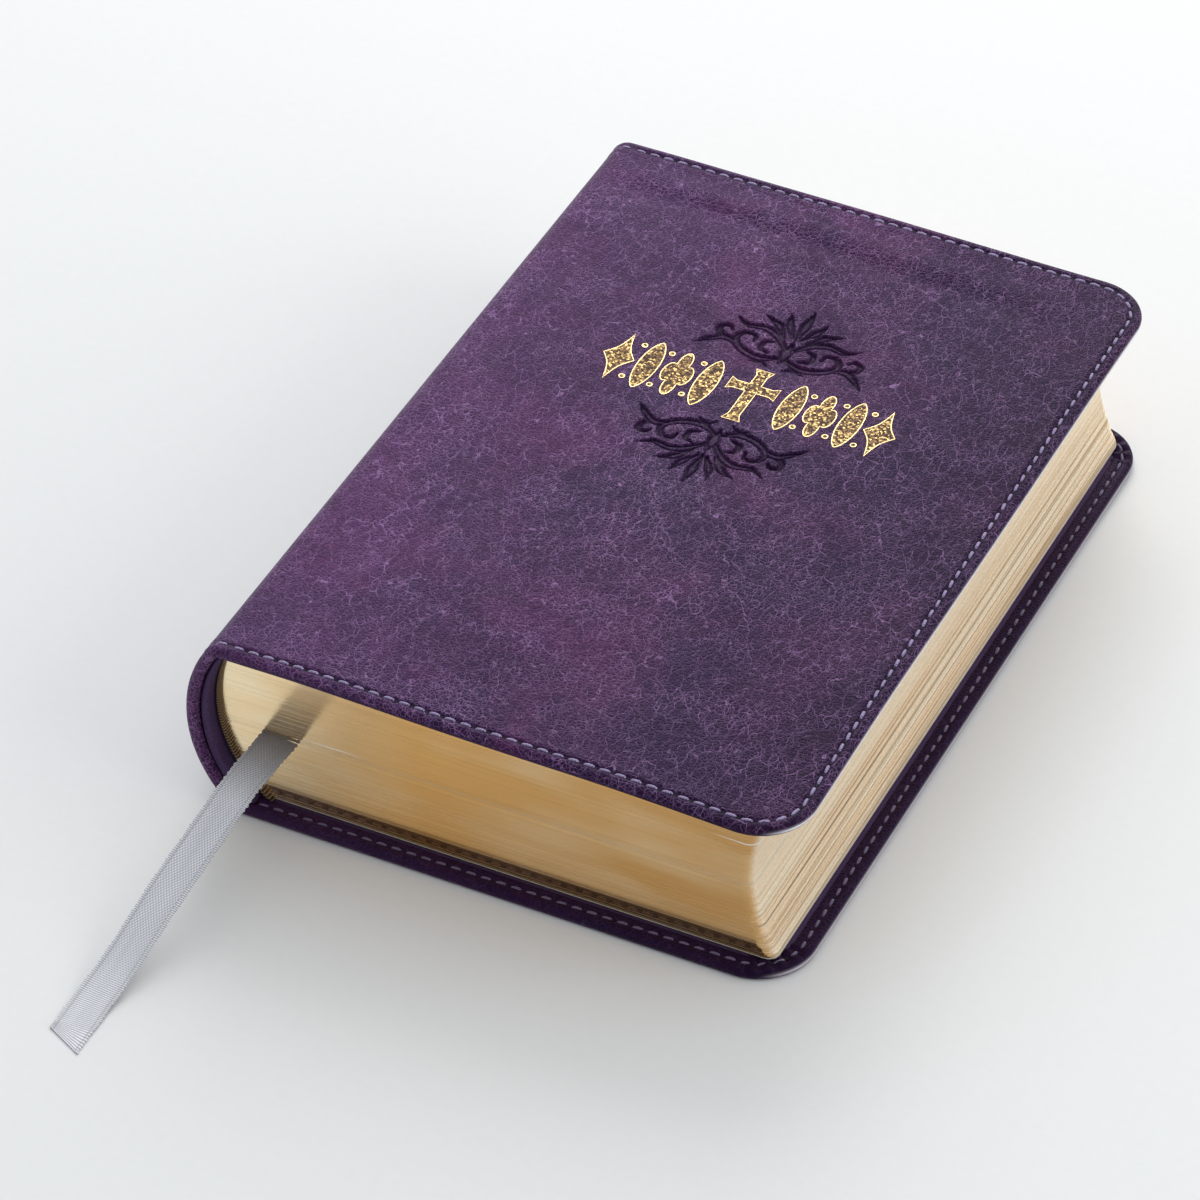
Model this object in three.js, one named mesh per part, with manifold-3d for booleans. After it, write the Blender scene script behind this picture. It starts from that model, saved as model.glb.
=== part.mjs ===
// A small Bible with a flexible leather binding, lying closed on its back cover.
// Frame: +X runs from the spine to the fore edge, +Y from the tail to the head, +Z up.
// The origin is the centre of the bottom of the closed book. All lengths are millimetres.
import * as THREE from 'three';
import { mergeVertices } from 'three/addons/utils/BufferGeometryUtils.js';
import Module from 'manifold-3d';

const wasm = await Module();
wasm.setup();

// ---- driving dimensions ---------------------------------------------------------------
const BOOK_WIDTH = 119;
const BOOK_HEIGHT = 168;
const BOOK_THICKNESS = 38;
const LAYER_GAP = 0.05;
const SIDE_GAP = 0.3;

// covers: a leather tray with a turned-in rim, a stiffener and a lining inside it
const COVER_THICKNESS = 2.3;
const COVER_CORNER_RADIUS = 11;
const SKIN_THICKNESS = 0.8;
const STIFFENER_THICKNESS = 0.6;
const RIM_WIDTH = 3.6;

// the stitch line around three sides of each cover
const STITCH_INSET = 2.2;
const GROOVE_WIDTH = 1.1;
const GROOVE_DEPTH = 0.35;
const THREAD_WIDTH = 0.5;
const THREAD_THICKNESS = 0.3;

// the rounded spine: every layer has the same arc, moved towards the pages
const SPINE_RADIUS = 28;
const SPINE_SKIN_THICKNESS = 2.2;
const SPINE_LINING_OFFSET = 2.6;
const SPINE_LINING_THICKNESS = 1.5;
const SPINE_LINING_SHORTER = 1.2;
const BAND_OFFSET = 4.4;
const BAND_THICKNESS = 0.8;
const BAND_LENGTH = 9;
const BAND_PROUD = 1;

// the text block
const BLOCK_BACK_OFFSET = 5.5;
const SQUARE = 4.2;
const FORE_EDGE_INSET = 4.2;
const FORE_EDGE_HOLLOW = 3.8;
const PAGE_CORNER_RADIUS = 3.2;
const SIGNATURES_PER_HALF = 8;
const REAR_SPLIT_Z = 18.2;
const FRONT_SPLIT_Z = 20.35;
const LEAF_THICKNESS = 0.2;
const READING_LEAVES = 4;
const READING_LEAF_LOWEST_Z = 18.7;
const READING_LEAF_PITCH = 0.4;
const READING_LEAF_INNER_OFFSET = 2.5;

// the ribbon marker
const RIBBON_WIDTH = 7.4;
const RIBBON_THICKNESS = 0.2;
const RIBBON_Z = 18.45;
const RIBBON_EXIT_X = -42.1;
const RIBBON_ANCHOR = new THREE.Vector2(-46.5, 76);

// the foil ornament on the front cover
const FOIL_THICKNESS = 0.08;
const FOIL_CENTRE = new THREE.Vector2(2.3, 21.9);
const FOIL_HEIGHT = 16;
const FOIL_HALF_LENGTH = 30;

// ---- derived places ---------------------------------------------------------------------
const HALF_WIDTH = BOOK_WIDTH / 2;
const HALF_HEIGHT = BOOK_HEIGHT / 2;
const MID_Z = BOOK_THICKNESS / 2;
const FOIL_STANDS_PROUD = 0.1;
const FRONT_OUTER_Z = BOOK_THICKNESS - FOIL_STANDS_PROUD;
const FRONT_INNER_Z = FRONT_OUTER_Z - COVER_THICKNESS;
const BLOCK_CLEARANCE = 0.55;
const FLYLEAF_PITCH = 0.3;
const BLOCK_BOTTOM_Z = COVER_THICKNESS + BLOCK_CLEARANCE;
const BLOCK_TOP_Z = FRONT_INNER_Z - BLOCK_CLEARANCE;
const PAGE_HALF_HEIGHT = HALF_HEIGHT - SQUARE;

const spineSag = (z) => SPINE_RADIUS - Math.sqrt(SPINE_RADIUS ** 2 - (z - MID_Z) ** 2);
const spineX = (offset, z) => -HALF_WIDTH + offset + spineSag(z);
const foreEdgeX = (z) => {
  const along = (z - MID_Z) / (MID_Z - BLOCK_BOTTOM_Z);
  return HALF_WIDTH - FORE_EDGE_INSET - FORE_EDGE_HOLLOW * (1 - along ** 2);
};
const SPINE_END_X = spineX(0, 0);
const COVER_SPINE_X = SPINE_END_X + SIDE_GAP;

// ---- materials ----------------------------------------------------------------------------
const finish = (color, roughness, metalness = 0) => () =>
  new THREE.MeshStandardMaterial({ color, roughness, metalness });
const purpleLeather = finish(0x5a4562, 0.55);
const purpleLining = finish(0x44365a, 0.8);
const greyBoard = finish(0x8b867c, 0.9);
const liningCloth = finish(0xb9b2a3, 0.95);
const giltPaper = finish(0xc9a96e, 0.35, 0.6);
const creamPaper = finish(0xf1ead8, 0.9);
const lavenderThread = finish(0xb9a9c9, 0.6);
const bandSilk = finish(0x3f2a1c, 0.7);
const greySatin = finish(0xbbc0c8, 0.35);
const goldFoil = finish(0xd8b56c, 0.25, 1);

// ---- geometry helpers -----------------------------------------------------------------------
function solidFrom(geometry) {
  const bare = geometry.clone();
  bare.deleteAttribute('normal');
  bare.deleteAttribute('uv');
  const welded = mergeVertices(bare, 1e-4);
  return new wasm.Manifold(new wasm.Mesh({
    numProp: 3,
    vertProperties: Float32Array.from(welded.attributes.position.array),
    triVerts: Uint32Array.from(welded.index.array),
  }));
}

function geometryFrom(solid) {
  const { vertProperties, triVerts } = solid.getMesh();
  const geometry = new THREE.BufferGeometry();
  geometry.setAttribute('position', new THREE.BufferAttribute(vertProperties, 3));
  geometry.setIndex(new THREE.BufferAttribute(triVerts, 1));
  geometry.computeVertexNormals();
  return geometry;
}

function named(name, geometry, makeMaterial) {
  const mesh = new THREE.Mesh(geometry, makeMaterial());
  mesh.name = name;
  return mesh;
}

// A flat plate in the XY plane that rises from bottomZ.
function plate(shape, bottomZ, thickness) {
  const geometry = new THREE.ExtrudeGeometry(shape, {
    depth: thickness,
    bevelEnabled: false,
    curveSegments: 6,
  });
  return geometry.translate(0, 0, bottomZ);
}

// A bar whose section is drawn in the XZ plane, running along Y from lowY to highY.
function barAlongY(section, lowY, highY) {
  const geometry = new THREE.ExtrudeGeometry(section, { depth: highY - lowY, bevelEnabled: false });
  return geometry.rotateX(Math.PI / 2).translate(0, highY, 0);
}

// A rectangle with its two fore-edge corners rounded, as covers and pages are.
function leafOutline(leftX, rightX, halfHeight, cornerRadius) {
  const shape = new THREE.Shape();
  shape.moveTo(leftX, -halfHeight);
  shape.lineTo(rightX - cornerRadius, -halfHeight);
  shape.absarc(rightX - cornerRadius, cornerRadius - halfHeight, cornerRadius, -Math.PI / 2, 0);
  shape.absarc(rightX - cornerRadius, halfHeight - cornerRadius, cornerRadius, 0, Math.PI / 2);
  shape.lineTo(leftX, halfHeight);
  shape.closePath();
  return shape;
}

// A U-shaped strip that follows the cover's edge at the stitch line.
function stitchStrip(width) {
  const outerInset = STITCH_INSET - width / 2;
  const innerInset = STITCH_INSET + width / 2;
  const startX = COVER_SPINE_X + STITCH_INSET;
  const centreX = HALF_WIDTH - COVER_CORNER_RADIUS;
  const centreY = HALF_HEIGHT - COVER_CORNER_RADIUS;
  const outerRadius = COVER_CORNER_RADIUS - outerInset;
  const innerRadius = COVER_CORNER_RADIUS - innerInset;
  const shape = new THREE.Shape();
  shape.moveTo(startX, outerInset - HALF_HEIGHT);
  shape.lineTo(centreX, outerInset - HALF_HEIGHT);
  shape.absarc(centreX, -centreY, outerRadius, -Math.PI / 2, 0);
  shape.absarc(centreX, centreY, outerRadius, 0, Math.PI / 2);
  shape.lineTo(startX, HALF_HEIGHT - outerInset);
  shape.lineTo(startX, HALF_HEIGHT - innerInset);
  shape.absarc(centreX, centreY, innerRadius, Math.PI / 2, 0, true);
  shape.absarc(centreX, -centreY, innerRadius, 0, -Math.PI / 2, true);
  shape.lineTo(startX, innerInset - HALF_HEIGHT);
  shape.closePath();
  return shape;
}

// ---- covers ---------------------------------------------------------------------------------
const insideCover = (extra) => leafOutline(
  COVER_SPINE_X + RIM_WIDTH + extra,
  HALF_WIDTH - RIM_WIDTH - extra,
  HALF_HEIGHT - RIM_WIDTH - extra,
  COVER_CORNER_RADIUS - RIM_WIDTH - extra,
);

// One cover, built from its outer face (outerZ) towards the pages (direction +1 or -1).
// The stitching lies in a groove in its upper face, at stitchFaceZ.
function cover(side, outerZ, towardsPages, stitchFaceZ) {
  const layer = (shape, from, thickness) => {
    const start = outerZ + towardsPages * from;
    const end = outerZ + towardsPages * (from + thickness);
    return plate(shape, Math.min(start, end), thickness);
  };
  const outline = leafOutline(COVER_SPINE_X, HALF_WIDTH, HALF_HEIGHT, COVER_CORNER_RADIUS);
  const whole = solidFrom(layer(outline, 0, COVER_THICKNESS));
  const pocket = solidFrom(layer(insideCover(0), SKIN_THICKNESS, COVER_THICKNESS));
  const groove = plate(stitchStrip(GROOVE_WIDTH), stitchFaceZ - GROOVE_DEPTH, 2 * GROOVE_DEPTH);
  const skin = whole.subtract(pocket).subtract(solidFrom(groove));
  const filling = insideCover(SIDE_GAP);
  const boardStart = SKIN_THICKNESS + LAYER_GAP;
  const liningStart = boardStart + STIFFENER_THICKNESS + LAYER_GAP;
  const liningThickness = COVER_THICKNESS - LAYER_GAP - liningStart;
  const thread = plate(stitchStrip(THREAD_WIDTH), stitchFaceZ - THREAD_THICKNESS, THREAD_THICKNESS);
  return [
    named(`${side}_cover_leather`, geometryFrom(skin), purpleLeather),
    named(`${side}_cover_stiffener`, layer(filling, boardStart, STIFFENER_THICKNESS), greyBoard),
    named(`${side}_cover_lining`, layer(filling, liningStart, liningThickness), purpleLining),
    named(`${side}_cover_stitching`, thread, lavenderThread),
  ];
}

// ---- spine ------------------------------------------------------------------------------------
// The section of one spine layer between two heights, bounded by two equal arcs.
function spineSection(offset, thickness, lowZ, highZ) {
  const steps = 10;
  const outer = [];
  const inner = [];
  for (let i = 0; i <= steps; i += 1) {
    const z = lowZ + (highZ - lowZ) * (i / steps);
    outer.push(new THREE.Vector2(spineX(offset, z), z));
    inner.push(new THREE.Vector2(spineX(offset + thickness, z), z));
  }
  return new THREE.Shape([...outer, ...inner.reverse()]);
}

// The leather of one half of the spine: it ends flush with the cover beside it.
function spineLeatherSection(lowZ, highZ) {
  const section = spineSection(0, SPINE_SKIN_THICKNESS, lowZ, highZ);
  const clipped = section.getPoints().map((p) => new THREE.Vector2(Math.min(p.x, SPINE_END_X), p.y));
  return new THREE.Shape(clipped);
}

function spineHalf(half, lowZ, highZ, leatherLowZ, leatherHighZ) {
  const bandReach = PAGE_HALF_HEIGHT + BAND_PROUD;
  const bandStart = bandReach - BAND_LENGTH;
  const mullReach = bandStart - SIDE_GAP;
  const liningReach = HALF_HEIGHT - SPINE_LINING_SHORTER;
  const lining = spineSection(SPINE_LINING_OFFSET, SPINE_LINING_THICKNESS, lowZ, highZ);
  const band = spineSection(BAND_OFFSET, BAND_THICKNESS, lowZ, highZ);
  const leather = spineLeatherSection(leatherLowZ, leatherHighZ);
  return [
    named(`spine_leather_${half}`, barAlongY(leather, -HALF_HEIGHT, HALF_HEIGHT), purpleLeather),
    named(`spine_lining_${half}`, barAlongY(lining, -liningReach, liningReach), purpleLining),
    named(`spine_mull_${half}`, barAlongY(band, -mullReach, mullReach), liningCloth),
    named(`tail_band_${half}`, barAlongY(band, -bandReach, -bandStart), bandSilk),
    named(`head_band_${half}`, barAlongY(band, bandStart, bandReach), bandSilk),
  ];
}

// ---- text block ---------------------------------------------------------------------------------
function pageOutline(z, backZ = z) {
  return leafOutline(spineX(BLOCK_BACK_OFFSET, backZ), foreEdgeX(z), PAGE_HALF_HEIGHT, PAGE_CORNER_RADIUS);
}

// A run of sewn signatures, numbered from the front of the book. The back of each one clears the
// rounded spine at its end farthest from the middle of the book.
function signatures(firstNumber, lowZ, highZ) {
  const pitch = (highZ - lowZ) / SIGNATURES_PER_HALF;
  const meshes = [];
  for (let i = 0; i < SIGNATURES_PER_HALF; i += 1) {
    const topZ = highZ - i * pitch;
    const label = String(firstNumber + i).padStart(2, '0');
    const middleZ = topZ - pitch / 2;
    const backZ = middleZ > MID_Z ? topZ : topZ - pitch;
    const body = plate(pageOutline(middleZ, backZ), topZ - pitch + LAYER_GAP, pitch - 2 * LAYER_GAP);
    meshes.push(named(`signature_${label}`, body, giltPaper));
  }
  return meshes;
}

// A single leaf at the front or the back of the block.
function flyleaf(name, z) {
  return named(name, plate(pageOutline(z), z - LEAF_THICKNESS / 2, LEAF_THICKNESS), creamPaper);
}

// Single leaves at the middle of the book, which turn one after another.
function readingLeaves() {
  const meshes = [];
  for (let i = 0; i < READING_LEAVES; i += 1) {
    const z = READING_LEAF_LOWEST_Z + (READING_LEAVES - 1 - i) * READING_LEAF_PITCH;
    const innerX = -HALF_WIDTH + READING_LEAF_INNER_OFFSET;
    const outline = leafOutline(innerX, foreEdgeX(z), PAGE_HALF_HEIGHT, PAGE_CORNER_RADIUS);
    meshes.push(named(`reading_leaf_${i + 1}`, plate(outline, z, LEAF_THICKNESS), creamPaper));
  }
  return meshes;
}

// ---- ribbon -----------------------------------------------------------------------------------
// The part of the marker that lies between the pages, from its anchor at the head to the tail.
function ribbonInside() {
  const half = RIBBON_WIDTH / 2;
  const shape = new THREE.Shape([
    new THREE.Vector2(RIBBON_EXIT_X - half, -PAGE_HALF_HEIGHT),
    new THREE.Vector2(RIBBON_EXIT_X + half, -PAGE_HALF_HEIGHT),
    new THREE.Vector2(RIBBON_ANCHOR.x + half, RIBBON_ANCHOR.y),
    new THREE.Vector2(RIBBON_ANCHOR.x - half, RIBBON_ANCHOR.y),
  ]);
  return named('ribbon_inside', plate(shape, RIBBON_Z - RIBBON_THICKNESS / 2, RIBBON_THICKNESS), greySatin);
}

// The free tail of the marker: it arches out of the book and its end lies on the table.
function ribbonTail() {
  const startY = -PAGE_HALF_HEIGHT - SIDE_GAP;
  const restZ = RIBBON_THICKNESS / 2 + LAYER_GAP;
  const route = new THREE.CatmullRomCurve3([
    new THREE.Vector3(RIBBON_EXIT_X, startY, RIBBON_Z),
    new THREE.Vector3(-43.3, startY - 9.7, 17),
    new THREE.Vector3(-44.1, startY - 15.6, 15.4),
    new THREE.Vector3(-45.2, startY - 23.3, 12.6),
    new THREE.Vector3(-46.8, startY - 33.5, 8.3),
    new THREE.Vector3(-48, startY - 43.5, 4.4),
    new THREE.Vector3(-48.8, startY - 51, 1.9),
    new THREE.Vector3(-49.3, startY - 58, 0.5),
    new THREE.Vector3(-49.2, startY - 67.5, restZ),
  ]);
  const steps = 24;
  const length = route.getLength();
  const strip = new THREE.BoxGeometry(RIBBON_WIDTH, length, RIBBON_THICKNESS, 1, steps, 1);
  const position = strip.attributes.position;
  for (let i = 0; i < position.count; i += 1) {
    const along = THREE.MathUtils.clamp(0.5 - position.getY(i) / length, 0, 1);
    const centre = route.getPointAt(along);
    const tangent = route.getTangentAt(along);
    const up = new THREE.Vector3(1, 0, 0).cross(tangent).negate().normalize();
    const place = centre.addScaledVector(up, position.getZ(i));
    position.setXYZ(i, place.x + position.getX(i), place.y, place.z);
  }
  return named('ribbon_tail', strip, greySatin);
}

// ---- foil ornament ------------------------------------------------------------------------------
function foil(name, points) {
  const outline = points.map(([x, y]) => new THREE.Vector2(x, y).add(FOIL_CENTRE));
  const shape = new THREE.Shape(outline);
  return named(name, plate(shape, BOOK_THICKNESS - FOIL_THICKNESS, FOIL_THICKNESS), goldFoil);
}

function foilCross() {
  const top = FOIL_HEIGHT / 2;
  const arm = 5.2;
  const half = 1.3;
  const crossbar = top - 5.4;
  return foil('foil_cross', [
    [-half, -top], [half, -top], [half, crossbar - half], [arm, crossbar - half],
    [arm, crossbar + half], [half, crossbar + half], [half, top], [-half, top],
    [-half, crossbar + half], [-arm, crossbar + half], [-arm, crossbar - half], [-half, crossbar - half],
  ]);
}

// A bar with two lozenges, to the left (-1) or the right (+1) of the cross.
function foilBar(name, side) {
  const lozenges = [12, 21];
  const lozengeHalf = 3.4;
  const barHalf = 0.7;
  const startX = 7.4;
  const upper = [[startX, barHalf]];
  lozenges.forEach((centre) => {
    upper.push([centre - lozengeHalf, barHalf]);
    upper.push([centre, barHalf + lozengeHalf]);
    upper.push([centre + lozengeHalf, barHalf]);
  });
  const tip = [FOIL_HALF_LENGTH, 0];
  const lower = upper.map(([x, y]) => [x, -y]).reverse();
  const outline = [...upper, tip, ...lower].map(([x, y]) => [side * x, y]);
  return foil(name, side > 0 ? outline.reverse() : outline);
}

// ---- assembly -----------------------------------------------------------------------------------
function rearHalf() {
  const group = new THREE.Group();
  group.add(...cover('back', 0, 1, COVER_THICKNESS));
  group.add(...spineHalf('rear', BLOCK_BOTTOM_Z, REAR_SPLIT_Z, 0, MID_Z - SIDE_GAP / 2));
  group.add(flyleaf('back_flyleaf', BLOCK_BOTTOM_Z - FLYLEAF_PITCH));
  group.add(...signatures(SIGNATURES_PER_HALF + 1, BLOCK_BOTTOM_Z, REAR_SPLIT_Z));
  group.add(ribbonInside(), ribbonTail());
  return group;
}

function frontHalf() {
  const group = new THREE.Group();
  group.add(...spineHalf('front', FRONT_SPLIT_Z, BLOCK_TOP_Z, MID_Z + SIDE_GAP / 2, FRONT_OUTER_Z));
  group.add(...signatures(1, FRONT_SPLIT_Z, BLOCK_TOP_Z));
  return group;
}

function frontCover() {
  const group = new THREE.Group();
  group.add(...cover('front', FRONT_OUTER_Z, -1, FRONT_OUTER_Z));
  group.add(foilCross(), foilBar('foil_bar_left', -1), foilBar('foil_bar_right', 1));
  return group;
}

const bible = new THREE.Group();
bible.add(rearHalf(), frontHalf(), frontCover());
bible.add(flyleaf('front_flyleaf', BLOCK_TOP_Z + FLYLEAF_PITCH));
bible.add(...readingLeaves());

export default bible;
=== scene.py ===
import math

import bpy
import numpy as np
from mathutils import Matrix, Vector


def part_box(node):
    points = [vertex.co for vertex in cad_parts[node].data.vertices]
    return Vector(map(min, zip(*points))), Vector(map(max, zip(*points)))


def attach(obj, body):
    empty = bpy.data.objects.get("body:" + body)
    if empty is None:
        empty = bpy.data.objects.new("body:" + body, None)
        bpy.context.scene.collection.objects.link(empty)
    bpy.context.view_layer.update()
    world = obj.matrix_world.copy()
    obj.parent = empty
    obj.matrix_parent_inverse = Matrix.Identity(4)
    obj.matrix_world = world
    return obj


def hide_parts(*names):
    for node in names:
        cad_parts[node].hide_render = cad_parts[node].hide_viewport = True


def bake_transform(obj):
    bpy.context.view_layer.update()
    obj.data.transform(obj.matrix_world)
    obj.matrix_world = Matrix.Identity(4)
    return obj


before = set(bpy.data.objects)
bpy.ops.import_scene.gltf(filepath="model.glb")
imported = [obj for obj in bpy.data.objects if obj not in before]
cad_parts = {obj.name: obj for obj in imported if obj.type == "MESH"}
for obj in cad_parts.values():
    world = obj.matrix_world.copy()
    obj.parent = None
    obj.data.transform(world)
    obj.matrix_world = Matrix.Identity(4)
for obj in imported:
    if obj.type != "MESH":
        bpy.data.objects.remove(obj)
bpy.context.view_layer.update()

MM = 0.001  # every size below is in millimetres, and becomes metres when a mesh is made


# ---- places and sizes from the frame ----
def corners(node):
    """The lowest and highest corner of a CAD node at rest, in millimetres."""
    low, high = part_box(node)
    return [c / MM for c in low], [c / MM for c in high]


FRONT_HIGH = corners("front_cover_leather")[1]
BACK_LOW, BACK_HIGH = corners("back_cover_leather")
FIRST_HIGH = corners("signature_01")[1]
LAST_LOW = corners("signature_16")[0]
FORE_X = FRONT_HIGH[0]
HALF_HEIGHT = FRONT_HIGH[1]
FRONT_TOP_Z = FRONT_HIGH[2]
SPINE_LEFT_X = corners("spine_leather_rear")[0][0]
MID_Z = corners("spine_leather_rear")[1][2]
PAGE_HALF_HEIGHT = FIRST_HIGH[1]
PAGE_FORE_X = FIRST_HIGH[0]
LEAVES = [f"reading_leaf_{i}" for i in range(1, 5)]

COVER_CORNER = 11.0
EDGE_ROUND = 1.0
STITCH_INSET = 2.2
STITCH_PITCH = 3.0
CORNER_FOLDS = 11
PAGE_CORNER = 2.2


# ---- camera ----
def make_camera():
    azimuth, elevation, roll = math.radians(26.59), math.radians(40.54), math.radians(-0.92)
    target = Vector((32.6, -101.3, 94.3)) * MM
    distance = 937.5 * MM
    back = Vector((math.sin(azimuth) * math.cos(elevation),
                   -math.cos(azimuth) * math.cos(elevation),
                   math.sin(elevation)))
    right = Vector((0, 0, 1)).cross(back).normalized()
    up = back.cross(right)
    right_rolled = right * math.cos(roll) + up * math.sin(roll)
    up_rolled = up * math.cos(roll) - right * math.sin(roll)
    data = bpy.data.cameras.new("camera")
    data.lens = 172.8
    data.sensor_width = 36
    camera = bpy.data.objects.new("camera", data)
    turn = Matrix((right_rolled, up_rolled, back)).transposed().to_4x4()
    camera.matrix_world = Matrix.Translation(target + back * distance) @ turn
    bpy.context.scene.collection.objects.link(camera)
    bpy.context.scene.camera = camera


# ---- mesh helpers ----
def make_mesh(name, points, faces, material, smooth=True):
    """A mesh object from points in millimetres."""
    mesh = bpy.data.meshes.new(name)
    scaled = np.asarray(points, float) * MM
    mesh.from_pydata([tuple(p) for p in scaled], [], [tuple(map(int, f)) for f in faces])
    mesh.validate()
    mesh.polygons.foreach_set("use_smooth", [smooth] * len(mesh.polygons))
    piece = bpy.data.objects.new(name, mesh)
    bpy.context.scene.collection.objects.link(piece)
    mesh.materials.append(material)
    return piece


def add_attribute(piece, name, values):
    attribute = piece.data.attributes.new(name, "FLOAT", "POINT")
    attribute.data.foreach_set("value", np.asarray(values, np.float32))


def smoothstep(low, high, value):
    t = np.clip((value - low) / (high - low), 0, 1)
    return t * t * (3 - 2 * t)


def quads(rows, columns, first=0):
    """The faces of a grid of rows times columns points, numbered row by row."""
    r, c = np.meshgrid(np.arange(rows - 1), np.arange(columns - 1), indexing="ij")
    a = first + r * columns + c
    return np.stack([a, a + 1, a + columns + 1, a + columns], -1).reshape(-1, 4).tolist()


def ring_faces(first, around, levels):
    """The sides between closed rings of points, numbered from first, and then the two end caps."""
    faces = []
    for a in range(first, first + (levels - 1) * around, around):
        for k in range(around):
            m = (k + 1) % around
            faces.append((a + k, a + m, a + around + m, a + around + k))
    last = first + (levels - 1) * around
    faces.append(tuple(range(first + around - 1, first - 1, -1)))
    faces.append(tuple(range(last, last + around)))
    return faces


def turned_over(faces):
    return [tuple(f)[::-1] for f in faces]


def spaced(*runs):
    """Positions along a line: each run is (end, step), from the last run's end."""
    places = [runs[0][0]]
    for end, step in runs[1:]:
        count = max(1, round(abs(end - places[-1]) / step))
        places.extend(np.linspace(places[-1], end, count + 1)[1:])
    return np.array(places)


# ---- the book's overall shape ----
def rise(x, y):
    """How far the front cover stands above its flat CAD plane: thick at the spine, slack at the fore edge."""
    tilt = -0.0145 * (x + 2)
    slack = -1.0 * smoothstep(18, 60, x) * smoothstep(35, 84, -y)
    head_slack = -0.35 * smoothstep(25, 60, x) * smoothstep(45, 84, y)
    swell = 0.22 * np.sin(x / 21 + 0.6) * np.cos(y / 27 + 0.4) + 0.12 * np.sin(x / 11 - y / 17)
    return tilt + slack + head_slack + swell * smoothstep(-52, -35, x)


def warped(points):
    """The points lifted with the front cover: all of it at the cover, none at the middle of the book."""
    points = np.array(points, float)
    share = np.clip((points[:, 2] - MID_Z) / (FRONT_TOP_Z - MID_Z), 0, 1.3)
    points[:, 2] += rise(points[:, 0], points[:, 1]) * share
    return points


# Each layer of the rounded spine is an arc: (leftmost x, radius, height of its centre).
LEATHER_ARC = (SPINE_LEFT_X + 0.1, 28.1, 20.3)
LINING_ARC = (SPINE_LEFT_X + 2.75, 26.5, 20.5)
LINING_INNER_ARC = (SPINE_LEFT_X + 4.45, 26.5, 21.8)
BAND_ARC = (SPINE_LEFT_X + 4.9, 26.4, 22.8)
BLOCK_ARC = (SPINE_LEFT_X + 5.5, 26.4, 23.2)
SHOULDER_RADIUS = 4.0


def arc_x(arc, z):
    left, radius, centre_z = arc
    return left + radius - np.sqrt(np.maximum(radius ** 2 - (z - centre_z) ** 2, 0))


def spine_section(top_z, bottom_z, flat_x, step):
    """The outer line of the leather, from the flat front cover round the spine to the flat back cover,
    as rows of x, z and the outward normal's x, z."""
    left, radius, centre_z = LEATHER_ARC
    centre_x = left + radius
    rows = []
    reach = radius - SHOULDER_RADIUS
    top_centre_z = top_z - SHOULDER_RADIUS
    bottom_centre_z = bottom_z + SHOULDER_RADIUS
    top_centre_x = centre_x - math.sqrt(reach ** 2 - (top_centre_z - centre_z) ** 2)
    bottom_centre_x = centre_x - math.sqrt(reach ** 2 - (bottom_centre_z - centre_z) ** 2)
    top_angle = math.atan2(top_centre_z - centre_z, top_centre_x - centre_x)
    bottom_angle = math.atan2(bottom_centre_z - centre_z, bottom_centre_x - centre_x) + 2 * math.pi
    for x in np.linspace(flat_x, top_centre_x, 8)[:-1]:
        rows.append((x, top_z, 0, 1))

    def turn(x, z, r, start, end):
        count = max(2, round(abs(end - start) * r / step))
        for angle in np.linspace(start, end, count + 1)[:-1]:
            rows.append((x + r * math.cos(angle), z + r * math.sin(angle), math.cos(angle), math.sin(angle)))

    turn(top_centre_x, top_centre_z, SHOULDER_RADIUS, math.pi / 2, top_angle)
    turn(centre_x, centre_z, radius, top_angle, bottom_angle)
    turn(bottom_centre_x, bottom_centre_z, SHOULDER_RADIUS, bottom_angle, 1.5 * math.pi)
    for x in np.linspace(bottom_centre_x, flat_x, 8):
        rows.append((x, bottom_z, 0, -1))
    return np.array(rows)


FLAT_START_X = -44.0
SECTION_STEP = 0.7
TOP_SEAM_Z = 35.6
BOTTOM_SEAM_Z = 3.2
SECTION = spine_section(FRONT_TOP_Z, BACK_LOW[2], FLAT_START_X, SECTION_STEP)
TOP_SEAM = int(np.argmax(SECTION[:, 1] < TOP_SEAM_Z))
BOTTOM_SEAM = int(len(SECTION) - np.argmax(SECTION[::-1, 1] > BOTTOM_SEAM_Z) - 1)


# ---- leather sheets with a rounded, turned-in edge ----
# How the edge of a cover runs: (distance in from the edge, depth below the outer face).
EDGE_PROFILE = np.array([
    (0.64, 0.07), (0.36, 0.24), (0.14, 0.52), (0.02, 0.88), (0.0, 1.2), (0.03, 1.5), (0.16, 1.85),
    (0.4, 2.1), (0.75, 2.25), (1.2, 2.3), (1.6, 2.29), (1.85, 2.2), (2.05, 2.08), (2.2, 2.05), (2.35, 2.08),
    (2.55, 2.2), (2.8, 2.29), (3.2, 2.33), (3.7, 2.3), (4.1, 2.2), (4.3, 1.9), (4.4, 1.35),
])


def round_corners(x, y, radius=COVER_CORNER, fore=FORE_X, half=HALF_HEIGHT):
    """Moves a rectangle's points so that its fore-edge corners are round, and gives the way outwards."""
    u = (x - (fore - radius)) / radius
    v = (np.abs(y) - (half - radius)) / radius
    inside = (u > 0) & (v > 0)
    us, vs = np.where(inside, u, 1.0), np.where(inside, v, 1.0)
    reach = np.maximum(us, vs)
    angle = np.where(us >= vs, vs / us * math.pi / 4, math.pi / 2 - us / vs * math.pi / 4)
    side = np.sign(y)
    new_x = np.where(inside, fore - radius + radius * reach * np.cos(angle), x)
    new_y = np.where(inside, side * (half - radius + radius * reach * np.sin(angle)), y)
    out_x = np.where(inside, np.cos(angle), (u > v).astype(float))
    out_y = np.where(inside, side * np.sin(angle), side * (u <= v))
    return new_x, new_y, out_x, out_y


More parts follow.
